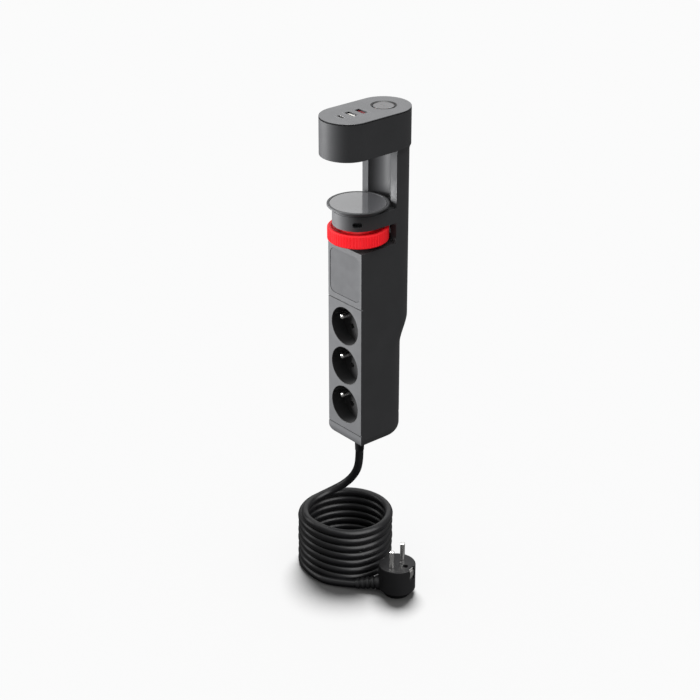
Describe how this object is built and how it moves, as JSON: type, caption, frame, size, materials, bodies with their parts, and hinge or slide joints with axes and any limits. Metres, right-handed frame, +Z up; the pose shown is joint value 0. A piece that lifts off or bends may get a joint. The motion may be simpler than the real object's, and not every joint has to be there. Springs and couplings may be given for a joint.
{
  "type": "desk power strip",
  "caption": "Desk clamp power tower: pill-shaped USB head with a push button on a column, screw clamp with a red hand wheel, earthed sockets down the front, coiled cord and angled plug.",
  "frame": {"origin": "on the clamp screw's axis, on the head's underside that rests on the table top", "axes": "+X width, +Y from the table towards the column, +Z up"},
  "size_m": [0.1449, 0.1288, 0.4805],
  "materials": {
    "body_black": "satin moulded charcoal black",
    "socket_black": "fine matt black",
    "label_black": "smooth satin black",
    "panel_black": "satin black with thin printed outlines",
    "wheel_red": "bright red moulding, satin gloss",
    "pad_grey": "glossy dark grey pad",
    "steel": "zinc plated",
    "nickel": "bright nickel plate",
    "brass": "plain brass",
    "nylon": "natural nylon",
    "light": "frosted light guide",
    "button_grey": "satin dark grey",
    "usb_white": "white insulator",
    "usb_red": "dark red insulator",
    "gold": "gold flash",
    "board": "green board",
    "wire": "pvc insulation",
    "cord_black": "glossy black cord sheath",
    "plug_black": "moulded black plug"
  },
  "bodies": {
    "tower": {"column": "body_black", "rear_cover": "body_black", "upper_front_cover": "body_black", "label_plate": "label_black", "socket_cover": "body_black", "bottom_cap": "body_black", "cover_screws": "steel", "deck": "body_black", "lower_collar": "body_black", "clamp_arm": "body_black", "guide_bush": "nylon", "thrust_washer": "nylon", "socket_insert_1": "socket_black", "socket_insert_2": "socket_black", "socket_insert_3": "socket_black", "earth_pins": "nickel", "earth_busbar": "brass", "neutral_contacts": "brass", "live_contacts": "brass", "neutral_busbar": "brass", "live_busbar": "brass", "contact_carrier": "nylon", "head_shell": "body_black", "top_panel": "panel_black", "button_bezel": "socket_black", "button_switch": "socket_black", "button_spring": "steel", "usb_c_shell": "nickel", "usb_c_tongue": "socket_black", "usb_a_shells": "nickel", "usb_a_tongue_white": "usb_white", "usb_a_tongue_red": "usb_red", "usb_contacts": "gold", "usb_board": "board", "switch_board": "board", "head_screws": "steel", "inner_wires": "wire", "cord_gland": "cord_black", "cord_clamp": "nylon", "cord_drop": "cord_black", "cord_coil": "cord_black", "cord_tail": "cord_black", "plug_relief": "plug_black", "plug_body": "plug_black", "plug_pins": "nickel", "plug_earth_clips": "nickel"},
    "wheel": {"clamp_wheel": "wheel_red", "wheel_nut": "brass"},
    "pad": {"pad_carrier": "body_black", "clamp_pad": "pad_grey", "pad_screw": "steel", "clamp_screw": "steel"},
    "button": {"power_button": "button_grey", "button_light_ring": "light", "button_light_bar": "light"},
    "shutter_1": {"socket_shutter_1": "nylon"},
    "shutter_2": {"socket_shutter_2": "nylon"},
    "shutter_3": {"socket_shutter_3": "nylon"}
  },
  "joints": [
    {"name": "clamp_wheel_turn", "type": "hinge", "parent": "tower", "child": "wheel", "pos_m": [0, 0, -0.0825], "axis": [0, 0, -1], "range_deg": [0, 2700]},
    {"name": "clamp_pad_lift", "type": "slide", "parent": "tower", "child": "pad", "axis": [0, 0, 1], "range_m": [0, 0.045]},
    {"name": "power_button_press", "type": "slide", "parent": "tower", "child": "button", "axis": [0, 0, -1], "range_m": [0, 0.002], "stiffness_N_per_m": 400, "springref_m": -0.002, "deforming": ["button_spring"]},
    {"name": "shutter_1_slide", "type": "slide", "parent": "tower", "child": "shutter_1", "axis": [0.7071, 0, -0.7071], "range_m": [0, 0.006], "stiffness_N_per_m": 60, "springref_m": -0.004},
    {"name": "shutter_2_slide", "type": "slide", "parent": "tower", "child": "shutter_2", "axis": [0.7071, 0, -0.7071], "range_m": [0, 0.006], "stiffness_N_per_m": 60, "springref_m": -0.004},
    {"name": "shutter_3_slide", "type": "slide", "parent": "tower", "child": "shutter_3", "axis": [0.7071, 0, -0.7071], "range_m": [0, 0.006], "stiffness_N_per_m": 60, "springref_m": -0.004}
  ],
  "couplings": [
    {"joint": "clamp_wheel_turn", "follows": "clamp_pad_lift", "rad_per_m": 1047.2}
  ]
}
